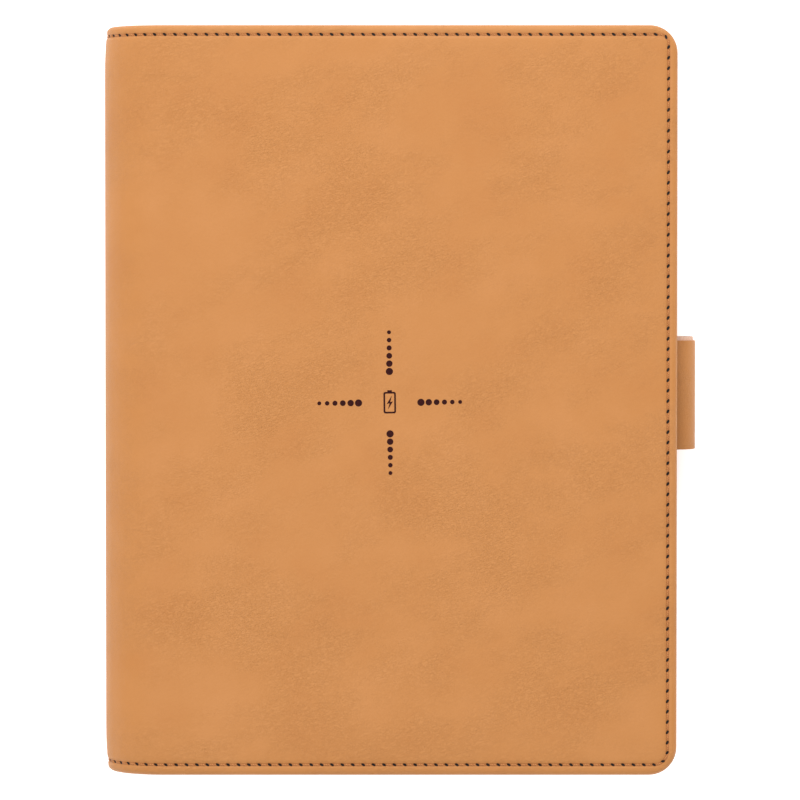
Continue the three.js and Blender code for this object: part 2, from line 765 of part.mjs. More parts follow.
function powerBank() {
  const group = new THREE.Group();
  const ferriteTop = SHELL_CEILING - 1.1;
  const ferriteBottom = ferriteTop - 0.8;
  const cell = slab(roundedOutline(30, 49, 2), SHELL_FLOOR + 0.1, ferriteBottom - 0.1);
  const circuit = block([-36, 36], [-68, -44], [CIRCUIT_BOTTOM, CIRCUIT_BOTTOM + CIRCUIT_SHEET]);
  const [buttonX, buttonY] = BUTTON_PLACE;
  const tactSwitch = block(
    [buttonX - 3, buttonX + 3],
    [buttonY - 3, buttonY + 3],
    [SWITCH_BOTTOM, CIRCUIT_BOTTOM - SEAM],
  );
  group.add(
    piece('power_bank_case_top', caseTop(), 'blackPlastic'),
    piece('power_bank_case_bottom', caseBottom(), 'blackPlastic'),
    piece('charging_coil', coil(), 'copper'),
    piece('coil_ferrite_sheet', disc(COIL_RADIUS + 3, ferriteBottom, ferriteTop, 0, 0, 40), 'ferrite'),
    piece('battery_cell', cell, 'foil', [0, 13, 0]),
    piece('charger_circuit_board', circuit, 'circuit'),
    piece('power_switch', tactSwitch, 'blackPlastic'),
    piece('power_button', powerButton(), 'greyPlastic', [buttonX, buttonY, 0]),
    piece('indicator_light_guide', lightGuide(), 'clearPlastic'),
    piece('usb_a_socket', socket(USB_A, 11, 1.8), 'steel'),
    piece('usb_c_socket', socket(USB_C, 6.6, 0.7), 'steel'),
  );
  SCREW_PLACES.forEach(([x, y], index) => {
    group.add(piece(`case_screw_${index + 1}`, caseScrew(), 'steel', [x, y, 0]));
  });
  return group;
}

// ---------------------------------------------------------------- the whole organiser

const organiser = new THREE.Group();
organiser.add(
  backCover(),
  spine(),
  frontCover(),
  ringMechanism(),
  paperStack(),
  powerBank(),
);

export default organiser;
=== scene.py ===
import json
import math

import bmesh
import bpy
import numpy as np
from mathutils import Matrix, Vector, noise


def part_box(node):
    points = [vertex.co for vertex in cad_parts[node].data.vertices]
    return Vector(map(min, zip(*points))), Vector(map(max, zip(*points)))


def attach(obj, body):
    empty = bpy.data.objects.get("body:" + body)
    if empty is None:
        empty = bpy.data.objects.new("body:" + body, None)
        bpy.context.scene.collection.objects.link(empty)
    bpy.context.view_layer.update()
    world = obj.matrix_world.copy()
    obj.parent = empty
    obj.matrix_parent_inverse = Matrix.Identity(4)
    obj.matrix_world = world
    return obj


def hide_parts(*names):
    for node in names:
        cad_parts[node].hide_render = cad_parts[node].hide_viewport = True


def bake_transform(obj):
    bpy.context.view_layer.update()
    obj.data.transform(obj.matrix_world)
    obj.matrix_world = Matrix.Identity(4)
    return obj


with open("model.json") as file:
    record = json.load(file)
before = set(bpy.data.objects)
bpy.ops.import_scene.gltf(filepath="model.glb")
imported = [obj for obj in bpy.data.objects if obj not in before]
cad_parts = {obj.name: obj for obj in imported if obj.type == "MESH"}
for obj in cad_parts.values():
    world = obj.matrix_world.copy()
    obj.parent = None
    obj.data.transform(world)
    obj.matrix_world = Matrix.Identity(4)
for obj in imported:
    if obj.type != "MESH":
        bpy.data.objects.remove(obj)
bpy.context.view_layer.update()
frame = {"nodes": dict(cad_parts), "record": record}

# Lengths are millimetres in the names below, and metres once they reach Blender.
MM = 0.001

# ------------------------------------------------------------ sizes taken from the frame


def box_mm(node):
    low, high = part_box(node)
    return low / MM, high / MM


front_low, front_high = box_mm("front_cover_leather")
back_low, back_high = box_mm("back_cover_leather")
stave_low, stave_high = box_mm("spine_leather_2")
lining_low, _ = box_mm("back_lining")
board_low, board_high = box_mm("front_cover_board")
bank_low, bank_high = box_mm("power_bank_case_bottom")

FORE_EDGE = front_high.x
HEAD = front_high.y
TOP = front_high.z
HALF_THICK = TOP / 2
SPINE_START = board_low.x
SPINE_DEPTH = SPINE_START - stave_low.x
DEPTH_FRONT = TOP - front_low.z
# Not the lining's own top: its lip climbs the spine, above the flat panel.
DEPTH_BACK = back_high.z
LINING = DEPTH_BACK - lining_low.z
BANK = bank_high

# The leather: its corners, thickness, and the roll over its edge.
CORNER = 8.5
LEATHER = 1.1
ROLL = 2.0
RIM_SHORT = 0.35
CROWN = 0.75
CROWN_REACH = 15
VALLEY = 0.3
DIMPLE = 0.4

# The stitch line: how far in from each edge, its corners, and one stitch's length.
SEAM_HEAD = 2.95
SEAM_FORE = 2.9
SEAM_TAIL = 3.3
SEAM_CORNER_HEAD = 2.6
SEAM_CORNER_TAIL = 4.0
PITCH = 3.17


# ------------------------------------------------------------ camera


def add_camera():
    """Over the front cover, a little towards the head."""
    distance = 1120
    over = 40
    aim = 12
    picture_width = 244.7
    data = bpy.data.cameras.new("camera")
    data.sensor_width = 36
    data.lens = data.sensor_width * math.hypot(distance, over - aim) / picture_width
    data.shift_x = 0.0104
    data.shift_y = 0.0015 - aim / picture_width
    data.clip_start = 0.05
    camera = bpy.data.objects.new("camera", data)
    bpy.context.scene.collection.objects.link(camera)
    camera.location = Vector((0, over, TOP + distance)) * MM
    camera.rotation_euler = (-math.atan2(over - aim, distance), 0, 0)
    bpy.context.scene.camera = camera


add_camera()


# ------------------------------------------------------------ node helpers


class Shader:
    """A short way to write a material's nodes."""

    def __init__(self, name, rough, metal=0.0, specular=0.5):
        self.material = bpy.data.materials.new(name)
        self.material.use_nodes = True
        self.tree = self.material.node_tree
        self.shader = self.tree.nodes["Principled BSDF"]
        self.shader.inputs["Roughness"].default_value = rough
        self.shader.inputs["Metallic"].default_value = metal
        self.shader.inputs["Specular IOR Level"].default_value = specular

    def node(self, kind, **settings):
        made = self.tree.nodes.new(kind)
        for key, value in settings.items():
            setattr(made, key, value)
        return made

    def plug(self, socket, value):
        if isinstance(value, bpy.types.NodeSocket):
            self.tree.links.new(value, socket)
        else:
            socket.default_value = value

    def math(self, operation, a, b=0.0, clamp=False):
        made = self.node("ShaderNodeMath", operation=operation, use_clamp=clamp)
        self.plug(made.inputs[0], a)
        self.plug(made.inputs[1], b)
        return made.outputs[0]

    def place(self, name="grain"):
        """Where a point is on the piece, in millimetres."""
        return self.node("ShaderNodeAttribute", attribute_name=name).outputs["Vector"]

    def solid_place(self):
        """Where a point is in the object's own frame, in millimetres."""
        coordinates = self.node("ShaderNodeTexCoord").outputs["Object"]
        return self.mapped(coordinates, stretch=(MM,) * 3)

    def mapped(self, vector, stretch=(1, 1, 1), turn=0.0, move=(0, 0, 0)):
        """Turns a pattern, after stretching it along its own axes."""
        made = self.node("ShaderNodeMapping", vector_type="TEXTURE")
        self.plug(made.inputs["Vector"], vector)
        made.inputs["Location"].default_value = move
        made.inputs["Rotation"].default_value = (0, 0, math.radians(turn))
        made.inputs["Scale"].default_value = stretch
        return made.outputs[0]

    def noise(self, vector, scale, detail=2.0, rough=0.5, distort=0.0):
        made = self.node("ShaderNodeTexNoise")
        self.plug(made.inputs["Vector"], vector)
        made.inputs["Scale"].default_value = scale
        made.inputs["Detail"].default_value = detail
        made.inputs["Roughness"].default_value = rough
        made.inputs["Distortion"].default_value = distort
        return made.outputs["Fac"]

    def cells(self, vector, scale, feature="F1"):
        made = self.node("ShaderNodeTexVoronoi", feature=feature)
        self.plug(made.inputs["Vector"], vector)
        made.inputs["Scale"].default_value = scale
        return made.outputs["Distance"]

    def ramp(self, value, stops):
        made = self.node("ShaderNodeValToRGB")
        self.plug(made.inputs["Fac"], value)
        elements = made.color_ramp.elements
        while len(elements) < len(stops):
            elements.new(0.5)
        for element, (position, colour) in zip(elements, stops):
            element.position = position
            element.color = colour if len(colour) == 4 else (*colour, 1)
        return made.outputs["Color"]

    def level(self, value, low, high):
        """0 at low, 1 at high, smooth between."""
        made = self.node("ShaderNodeMapRange", interpolation_type="SMOOTHSTEP")
        self.plug(made.inputs["Value"], value)
        made.inputs["From Min"].default_value = low
        made.inputs["From Max"].default_value = high
        return made.outputs[0]

    def mix(self, factor, a, b, blend="MIX"):
        made = self.node("ShaderNodeMix", data_type="RGBA", blend_type=blend)
        self.plug(made.inputs[0], factor)
        self.plug(made.inputs[6], a)
        self.plug(made.inputs[7], b)
        return made.outputs[2]

    def colour(self, value):
        self.plug(self.shader.inputs["Base Color"], value)

    def rough(self, value, low, high):
        made = self.node("ShaderNodeMapRange")
        self.plug(made.inputs["Value"], value)
        made.inputs["To Min"].default_value = low
        made.inputs["To Max"].default_value = high
        self.plug(self.shader.inputs["Roughness"], made.outputs[0])

    def bump(self, height, depth_mm, strength=1.0, after=None):
        """Height runs from 0 to 1 over depth_mm."""
        made = self.node("ShaderNodeBump")
        made.inputs["Strength"].default_value = strength
        made.inputs["Distance"].default_value = depth_mm * MM
        self.plug(made.inputs["Height"], height)
        if after is not None:
            self.plug(made.inputs["Normal"], after)
        self.plug(self.shader.inputs["Normal"], made.outputs[0])
        return made.outputs[0]


def rgb(red, green, blue):
    """A colour from its screen values of 0 to 255."""

    def linear(value):
        value /= 255
        return value / 12.92 if value <= 0.04045 else ((value + 0.055) / 1.055) ** 2.4

    return linear(red), linear(green), linear(blue), 1.0


# ------------------------------------------------------------ materials


def stitch_holes(shader):
    """1 in the slanted needle holes, and 1 in the crease along them, else 0. The leather is painted darker
    in both as painted shade.
    """
    part = shader.node("ShaderNodeSeparateXYZ")
    shader.plug(part.inputs[0], shader.place("stitch"))
    phase, off = part.outputs[0], part.outputs[1]
    cell = shader.math("SUBTRACT", shader.math("FRACT", shader.math("ADD", phase, 0.5)), 0.5)
    run = shader.math("MULTIPLY", cell, PITCH)
    slant = math.radians(-32)
    along = shader.math(
        "ADD",
        shader.math("MULTIPLY", run, math.cos(slant)),
        shader.math("MULTIPLY", off, math.sin(slant)),
    )
    across = shader.math(
        "SUBTRACT",
        shader.math("MULTIPLY", off, math.cos(slant)),
        shader.math("MULTIPLY", run, math.sin(slant)),
    )
    size = shader.math(
        "ADD",
        shader.math("POWER", shader.math("ABSOLUTE", shader.math("DIVIDE", along, 0.62)), 2.0),
        shader.math("POWER", shader.math("ABSOLUTE", shader.math("DIVIDE", across, 0.36)), 2.0),
    )
    # The band of the crease beside the thread, which gets painted shade.
    beside = shader.level(shader.math("ABSOLUTE", off), 0.62, 0.3)
    return shader.level(size, 1.25, 0.75), beside


def leather_material():
    """Coated tan leather: fine pebble, clumps of short wrinkles with painted shade in their creases and a
    painted highlight on their ridges, painted shade along the stitches and in the needle holes, mottled
    colour.
    """
    shader = Shader("tan_leather", rough=0.5, specular=0.35)
    place = shader.place()
    clumps = shader.noise(shader.mapped(place, stretch=(1.8, 1, 1), turn=-20), 0.035, detail=4, rough=0.65)
    in_clump = shader.math("ADD", 0.15, shader.math("MULTIPLY", shader.level(clumps, 0.36, 0.62), 0.85))
    slanted = shader.mapped(place, stretch=(2.1, 0.8, 1), turn=-22)
    wrinkles = shader.noise(slanted, 1.5, detail=4, rough=0.66, distort=0.9)
    creases = shader.math("ABSOLUTE", shader.math("SUBTRACT", wrinkles, 0.5))
    crease_height = shader.level(creases, 0.0, 0.07)
    pebble = shader.cells(place, 1.15)
    pores = shader.noise(place, 2.2, detail=3, rough=0.6)
    patches = shader.noise(place, 0.04, detail=4, rough=0.6)

    deep, plain, pale = rgb(188, 123, 63), rgb(190, 126, 66), rgb(193, 129, 70)
    base = shader.ramp(patches, [(0.32, deep), (0.5, plain), (0.68, pale)])
    # Painted shade darkens the wrinkle creases.
    wrinkle_shade = shader.math("MULTIPLY", shader.math("SUBTRACT", 1.0, crease_height), in_clump)
    base = shader.mix(shader.math("MULTIPLY", wrinkle_shade, 0.05), base, rgb(160, 92, 42))
    # Painted highlight lightens the wrinkle ridges.
    on_ridge = shader.math("MULTIPLY", crease_height, in_clump)
    base = shader.mix(shader.math("MULTIPLY", on_ridge, 0.14), base, rgb(214, 152, 94))
    pore_dark = shader.math("MULTIPLY", shader.level(pores, 0.36, 0.26), 0.30)
    base = shader.mix(pore_dark, base, rgb(166, 98, 48))
    holes, seam_groove_shade = stitch_holes(shader)
    # Painted shade in the groove along the stitch line.
    base = shader.mix(shader.math("MULTIPLY", seam_groove_shade, 0.45), base, rgb(140, 70, 26))
    # The needle holes are painted near-black as painted shade inside them.
    shader.colour(shader.mix(holes, base, rgb(10, 3, 2)))

    fine = shader.math("MULTIPLY", pebble, 0.35)
    fine = shader.math("ADD", fine, shader.math("MULTIPLY", pores, 0.65))
    normal = shader.bump(fine, 0.09)
    normal = shader.bump(on_ridge, 0.032, after=normal)
    shader.bump(shader.math("SUBTRACT", 1.0, holes), 0.5, after=normal)
    shader.rough(shader.math("ADD", pores, holes), 0.42, 0.62)
    return shader.material


def suede_material(name, dark, light):
    """Brushed lining cloth: a short nap that lies this way and that."""
    shader = Shader(name, rough=0.92, specular=0.15)
    place = shader.solid_place()
    nap = shader.noise(place, 1.7, detail=5, rough=0.7)
    brushed = shader.noise(shader.mapped(place, stretch=(3.3, 1, 1), turn=18), 0.12, detail=3)
    tone = shader.math("ADD", shader.math("MULTIPLY", nap, 0.65), shader.math("MULTIPLY", brushed, 0.35))
    shader.colour(shader.ramp(tone, [(0.32, dark), (0.66, light)]))
    shader.bump(nap, 0.12)
    shader.shader.inputs["Sheen Weight"].default_value = 0.25
    shader.shader.inputs["Sheen Roughness"].default_value = 0.5
    return shader.material


def raw_edge_material():
    """The cut edge of a leather strip: pale fibres in layers."""
    shader = Shader("raw_leather_edge", rough=0.9, specular=0.2)
    place = shader.solid_place()
    fibres = shader.noise(shader.mapped(place, stretch=(0.33, 0.33, 1.6)), 1.4, detail=5, rough=0.7)
    shader.colour(shader.ramp(fibres, [(0.3, rgb(206, 158, 128)), (0.7, rgb(240, 206, 186))]))
    shader.bump(fibres, 0.15)
    return shader.material


def thread_material():
    """Twisted polyester thread a little redder than the leather."""
    shader = Shader("tan_thread", rough=0.6, specular=0.35)
    place = shader.solid_place()
    wave = shader.node("ShaderNodeTexWave", bands_direction="DIAGONAL")
    shader.plug(wave.inputs["Vector"], place)
    wave.inputs["Scale"].default_value = 0.9
    wave.inputs["Distortion"].default_value = 1.2
    twist = wave.outputs["Fac"]
    shader.colour(shader.ramp(twist, [(0.2, rgb(170, 104, 50)), (0.8, rgb(200, 136, 80))]))
    shader.bump(twist, 0.08)
    return shader.material


def ink_material():
    """Dark maroon foil pressed into the leather."""
    shader = Shader("maroon_print", rough=0.6, specular=0.12)
    place = shader.solid_place()
    wear = shader.noise(place, 1.3, detail=4, rough=0.65)
    shader.colour(shader.ramp(wear, [(0.3, rgb(36, 5, 6)), (0.62, rgb(54, 12, 11)), (0.8, rgb(84, 30, 22))]))
    shader.bump(wear, 0.05)
    shader.rough(wear, 0.5, 0.75)
    return shader.material


def metal_material(name, dark, light, rough):
    """Plated metal with fine drawing lines and a few dull spots."""
    shader = Shader(name, rough=rough, metal=1.0)
    place = shader.solid_place()
    lines = shader.noise(shader.mapped(place, stretch=(0.17, 3.3, 0.17)), 1.0, detail=4, rough=0.6)
    spots = shader.noise(place, 0.35, detail=4, rough=0.6)
    shader.colour(shader.ramp(spots, [(0.35, dark), (0.62, light)]))
    shader.rough(lines, rough * 0.75, rough * 1.5)
    shader.bump(lines, 0.02)
    return shader.material


def plastic_material(name, dark, light, rough, grain=0.06, clear=0.0):
    """Moulded plastic with spark-eroded texture and faint handling marks."""
    shader = Shader(name, rough=rough, specular=0.5)
    place = shader.solid_place()
    texture = shader.noise(place, 2.4, detail=3, rough=0.6)
    marks = shader.noise(shader.mapped(place, stretch=(2.5, 0.8, 1), turn=35), 0.12, detail=5, rough=0.7)
    shader.colour(shader.ramp(marks, [(0.35, dark), (0.7, light)]))
    shader.rough(marks, rough * 0.85, rough * 1.2)
    shader.bump(texture, grain)
    shader.shader.inputs["Transmission Weight"].default_value = clear
    return shader.material


def card_material():
    """Grey binder's board: flecked pulp."""
    shader = Shader("grey_board", rough=0.95, specular=0.2)
    place = shader.solid_place()
    pulp = shader.noise(place, 1.2, detail=5, rough=0.75)
    flecks = shader.level(shader.cells(place, 0.5), 0.12, 0.05)
    base = shader.ramp(pulp, [(0.3, rgb(128, 120, 108)), (0.7, rgb(168, 160, 146))])
    shader.colour(shader.mix(shader.math("MULTIPLY", flecks, 0.5), base, rgb(92, 84, 76)))
    shader.bump(pulp, 0.1)
    return shader.material


def foam_material():
    """Open-cell padding foam."""
    shader = Shader("padding_foam", rough=0.95, specular=0.1)
    place = shader.solid_place()
    cells = shader.cells(place, 1.8)
    shader.colour(shader.ramp(cells, [(0.05, rgb(196, 186, 160)), (0.5, rgb(236, 228, 208))]))
    shader.bump(cells, 0.25)
    return shader.material


def paper_material(name, ruled):
    """Cream writing paper. Its edges show the leaves, and a ruled one has grey lines."""
    shader = Shader(name, rough=0.9, specular=0.2)
    place = shader.solid_place()
    part = shader.node("ShaderNodeSeparateXYZ")
    shader.plug(part.inputs[0], place)
    fibre = shader.noise(place, 1.1, detail=5, rough=0.7)
    base = shader.ramp(fibre, [(0.3, rgb(222, 214, 196)), (0.7, rgb(232, 226, 210))])
    if ruled:
        pitch = 7.0
        cell = shader.math("FRACT", shader.math("DIVIDE", part.outputs[1], pitch))
        line = shader.level(shader.math("ABSOLUTE", shader.math("SUBTRACT", cell, 0.5)), 0.022, 0.012)
        within = shader.level(shader.math("ABSOLUTE", part.outputs[1]), 92.0, 91.8)
        line = shader.math("MULTIPLY", line, within)
        base = shader.mix(shader.math("MULTIPLY", line, 0.6), base, rgb(150, 158, 170))
    leaves = shader.noise(shader.mapped(place, stretch=(50, 50, 0.11)), 1.0, detail=3, rough=0.7)
    up = shader.node("ShaderNodeSeparateXYZ")
    shader.plug(up.inputs[0], shader.node("ShaderNodeNewGeometry").outputs["Normal"])
    edge = shader.level(shader.math("ABSOLUTE", up.outputs[2]), 0.7, 0.3)
    leaf_colour = shader.ramp(leaves, [(0.4, rgb(196, 186, 162)), (0.6, rgb(250, 245, 232))])
    shader.colour(shader.mix(shader.math("MULTIPLY", edge, 0.35), base, leaf_colour))
    leaf_height = shader.math("MULTIPLY", leaves, edge)
    fibre_height = shader.math("MULTIPLY", fibre, 0.2)
    shader.bump(shader.math("ADD", leaf_height, fibre_height), 0.12)
    return shader.material


def coil_material():
    """Enamelled wire wound in a flat spiral."""
    shader = Shader("copper_winding", rough=0.3, metal=1.0)
    place = shader.solid_place()
    wave = shader.node("ShaderNodeTexWave", wave_type="RINGS", rings_direction="Z")
    shader.plug(wave.inputs["Vector"], place)
    wave.inputs["Scale"].default_value = 0.32
    turns = wave.outputs["Fac"]
    shader.colour(shader.ramp(turns, [(0.1, rgb(120, 62, 30)), (0.6, rgb(214, 130, 74))]))
    shader.bump(turns, 0.2)
    return shader.material


MATERIALS = {
    "leather": leather_material(),
    "lining": suede_material("tan_suede", rgb(150, 102, 62), rgb(190, 140, 94)),
    "raw_edge": raw_edge_material(),
    "thread": thread_material(),
    "ink": ink_material(),
    "steel": metal_material("nickel_steel", rgb(168, 170, 174), rgb(206, 208, 212), 0.24),
    "foil": metal_material("battery_foil", rgb(150, 152, 156), rgb(196, 198, 202), 0.4),
    "case": plastic_material("black_case_plastic", rgb(30, 30, 33), rgb(46, 46, 50), 0.5),
    "button": plastic_material(
        "grey_button_plastic", rgb(108, 112, 118), rgb(136, 140, 146), 0.35, grain=0.03
    ),
    "clear": plastic_material(
        "clear_lamp_plastic", rgb(222, 234, 238), rgb(240, 246, 248), 0.2, grain=0.01, clear=0.5
    ),
    "circuit": plastic_material("green_circuit_board", rgb(18, 78, 48), rgb(34, 110, 70), 0.35, grain=0.03),
    "ferrite": plastic_material("grey_ferrite", rgb(52, 52, 56), rgb(72, 72, 78), 0.7, grain=0.05),
    "board": card_material(),
    "foam": foam_material(),
    "paper": paper_material("cream_paper", ruled=False),
    "ruled_paper": paper_material("ruled_paper", ruled=True),
    "coil": coil_material(),
}


# ------------------------------------------------------------ mesh helpers


def new_piece(name, vertices, faces, material, smooth_angle=50, closing=False):
    """A mesh object from points in metres. closing puts a face over each open end."""
    mesh = bpy.data.meshes.new(name)
    mesh.from_pydata([tuple(v) for v in vertices], [], [tuple(f) for f in faces])
    bm = bmesh.new()
    bm.from_mesh(mesh)
    if closing:
        bmesh.ops.holes_fill(bm, edges=[e for e in bm.edges if e.is_boundary])
    bmesh.ops.recalc_face_normals(bm, faces=bm.faces)
    bm.to_mesh(mesh)
    bm.free()
    return finish_piece(name, mesh, material, smooth_angle)


def finish_piece(name, mesh, material, smooth_angle=35):
    mesh.shade_smooth()
    mesh.set_sharp_from_angle(angle=math.radians(smooth_angle))
    mesh.materials.clear()
    mesh.materials.append(MATERIALS[material])
    piece = bpy.data.objects.new(name, mesh)
    bpy.context.scene.collection.objects.link(piece)
    return piece


def add_attribute(piece, name, rows):
    attribute = piece.data.attributes.new(name, "FLOAT_VECTOR", "POINT")
    attribute.data.foreach_set("vector", np.array(rows, np.float32).ravel())


def spaced(start, end, step):
    """Evenly spaced values from start to end, no further apart than step."""
    count = max(1, math.ceil(abs(end - start) / step))
    return [start + (end - start) * i / count for i in range(count + 1)]


# ------------------------------------------------------------ the book's cross-section


def spine_curve(turn):
    """The outside of the spine where it has turned by so many degrees from the front."""
    angle = np.radians(turn)
    along = np.arctan2(SPINE_DEPTH * np.sin(angle), HALF_THICK * np.cos(angle))
    x = SPINE_START - SPINE_DEPTH * np.sin(along)
    z = HALF_THICK + HALF_THICK * np.cos(along)
    return x, z


def joined_curve():
    """The front half's cross-section as columns of s, x, z and turn. Where two pieces of
    leather meet it runs straight for a moment, so that both pieces have one slope there."""
    turns = np.linspace(0, 90, 721)
    x, z = spine_curve(turns)
    s = FLAT + LENGTHS
    keep = np.abs(s - FIRST_SEAM) > JOIN
    keep &= s < MID_SPINE - JOIN
    edges = [FIRST_SEAM - JOIN, FIRST_SEAM + JOIN, MID_SPINE - JOIN]
    rows = np.array([s, x, z, turns])
    added = np.array([[np.interp(e, s, row) for e in edges] for row in rows])
    end = np.array([[MID_SPINE], [added[1, 2]], [HALF_THICK], [90]])
    rows = np.concatenate([rows[:, keep], added, end], axis=1)
    return rows[:, rows[0].argsort()]


FLAT = FORE_EDGE - SPINE_START
TURN_POINTS = np.array(spine_curve(np.linspace(0, 90, 721))).T
LENGTHS = np.concatenate([[0], np.cumsum(np.linalg.norm(np.diff(TURN_POINTS, axis=0), axis=1))])
MID_SPINE = FLAT + LENGTHS[-1]
WHOLE = 2 * MID_SPINE

# The leather's grid keeps step with the stitches: four columns to a stitch.
QUARTERS = 4
CORNER_STITCHES = 3
HEAD_STITCHES = round((MID_SPINE - CORNER) / PITCH)
FORE_STITCHES = round(2 * (HEAD - CORNER) / PITCH)
STEP = (MID_SPINE - CORNER) / (HEAD_STITCHES * QUARTERS)
FORE_STEP = 2 * (HEAD - CORNER) / (FORE_STITCHES * QUARTERS)
JOIN = 2 * STEP
HALF_TURN = float(np.interp(45, np.linspace(0, 90, 721), LENGTHS))
FIRST_SEAM = MID_SPINE - 2 * STEP * round((LENGTHS[-1] - HALF_TURN) / (2 * STEP))
CURVE = joined_curve()


def fold(u, y, w):
    """From the flat leather to the closed book, in metres: u from the front's fore edge
    round the spine to the back's, y along the book and w out of the surface."""
    u, y, w = np.broadcast_arrays(np.asarray(u, float), y, w)
    s = np.minimum(u, WHOLE - u)
    turn = np.interp(s, CURVE[0], CURVE[3])
    x = np.where(s < FLAT, FORE_EDGE - s, np.interp(s, CURVE[0], CURVE[1]))
    z = np.interp(s, CURVE[0], CURVE[2])
    x = x - w * np.sin(np.radians(turn))
    z = z + w * np.cos(np.radians(turn))
    z = np.where(u > MID_SPINE, TOP - z, z)
    return np.stack([x, y, z], axis=-1) * MM


def smooth_step(value, low=0.0, high=1.0):
    share = np.clip((np.asarray(value, float) - low) / (high - low), 0, 1)
    return share * share * (3 - 2 * share)


def total_depth(u):
    """How deep the cover's layers go below the leather's outside."""
    front = DEPTH_FRONT + (DEPTH_BACK - DEPTH_FRONT) * smooth_step(u, FLAT, FIRST_SEAM - 2)
    return np.where(np.asarray(u) < MID_SPINE, front, DEPTH_BACK)


# ------------------------------------------------------------ stitches


class SeamLine:
    """The stitch line of one cover, in the flat leather: along the head from the middle of
    the spine, down the fore edge and back along the tail. Needle holes are at whole phases."""

    def __init__(self):
        head, tail, fore = HEAD - SEAM_HEAD, SEAM_TAIL - HEAD, SEAM_FORE
        inner = HEAD - CORNER
        self.points, self.phases = [(MID_SPINE, head)], [0.5]
        self.run([(CORNER, head)], HEAD_STITCHES)
        self.run(self.corner(fore, head, SEAM_CORNER_HEAD, -1) + [(fore, inner)], CORNER_STITCHES)
        self.run([(fore, -inner)], FORE_STITCHES)
        around = self.corner(fore, tail, SEAM_CORNER_TAIL, 1)[::-1]
        self.run(around + [(CORNER, tail)], CORNER_STITCHES)
        self.run([(MID_SPINE, tail)], HEAD_STITCHES)
        self.points, self.phases = np.array(self.points), np.array(self.phases)

    @staticmethod
    def corner(s, y, radius, way):
        """A quarter turn from the head or tail line to the fore line."""
        angles = [math.radians(90 * i / 8) for i in range(9)]
        return [
            (s + radius * (1 - math.sin(a)), y + way * radius * (1 - math.cos(a)))
            for a in angles
        ]

    def run(self, points, stitches):
        line = [self.points[-1], *points]
        lengths = [math.dist(a, b) for a, b in zip(line, line[1:])]
        start, gone = self.phases[-1], 0.0
        for point, length in zip(points, lengths):
            gone += length
            self.points.append(point)
            self.phases.append(start + stitches * gone / sum(lengths))

    def at(self, phase):
        """The point of the line at a phase, carried straight on past its ends."""
        phase = np.asarray(phase, float)
        s = np.interp(phase, self.phases, self.points[:, 0])
        y = np.interp(phase, self.phases, self.points[:, 1])
        beyond = np.maximum(self.phases[0] - phase, 0) + np.maximum(phase - self.phases[-1], 0)
        return s + beyond * PITCH, y

    def nearest(self, s, y):
        """The phase of the nearest point of the line and the distance to it, which is
        positive towards the edge of the leather."""
        a, b = self.points[:-1], self.points[1:]
        step = b - a
        phase, off = np.empty(len(s)), np.empty(len(s))
        for first in range(0, len(s), 4096):
            part = slice(first, first + 4096)
            points = np.stack([s[part], y[part]], axis=1)[:, None, :]
            share = ((points - a) * step).sum(2) / (step**2).sum(1)
            share = np.clip(share, 0, 1)
            gap = points - (a + step * share[..., None])
            distance = np.hypot(gap[..., 0], gap[..., 1])
            best = distance.argmin(1)
            row = np.arange(len(best))
            share, gap, distance = share[row, best], gap[row, best], distance[row, best]
            rise = self.phases[best + 1] - self.phases[best]
            phase[part] = self.phases[best] + share * rise
            side = step[best, 0] * gap[:, 1] - step[best, 1] * gap[:, 0]
            off[part] = -np.copysign(distance, side)
        return phase, off

    def last(self):
        return self.phases[-1]


SEAM = SeamLine()


def edge_distance(s, y):
    """How far inside the leather's outline a point is."""
    along = HEAD - np.abs(y)
    in_s, in_y = CORNER - s, CORNER - along
    round_part = CORNER - np.hypot(in_s, in_y)
    return np.where((in_s > 0) & (in_y > 0), round_part, np.minimum(s, along))


def slow_noise(u, y, size, seed):
    """Gentle waves of about that size, from -1 to 1."""
    return np.array([noise.noise(Vector((a / size, b / size, seed))) for a, b in zip(u, y)])


def relief(u, y):
    """How far the leather stands out of the plain cover at a point, in millimetres."""
    u, y = np.asarray(u, float).ravel(), np.asarray(y, float).ravel()
    s = np.minimum(u, WHOLE - u)
    inside = edge_distance(s, y)
    crown = -CROWN * np.clip(1 - inside / CROWN_REACH, 0, 1) ** 2
    phase, off = SEAM.nearest(s, y)
    valley = -VALLEY * np.exp(-((off / 0.75) ** 2))
    from_hole = (np.mod(phase + 0.5, 1) - 0.5) * PITCH
    dimple = -DIMPLE * np.exp(-((from_hole / 0.6) ** 2) - (off / 0.45) ** 2)
    on_panel = 1 - smooth_step(s, FLAT - 8, FLAT + 4)
    x = FORE_EDGE - s
    over_x = 1 - smooth_step(np.abs(x), BANK.x - 3, BANK.x + 4)
    over_y = 1 - smooth_step(np.abs(y), BANK.y - 3, BANK.y + 4)
    lift = np.where(u < MID_SPINE, 0.2 * over_x * over_y, 0)
    swell = 0.16 * slow_noise(u, y, 38, 3.1) + 0.05 * slow_noise(u, y, 13, 7.7)
    calm = smooth_step(inside, 2, 12) * on_panel
    return crown + valley + dimple + (lift + swell - 0.12) * calm


# ------------------------------------------------------------ the leather shell


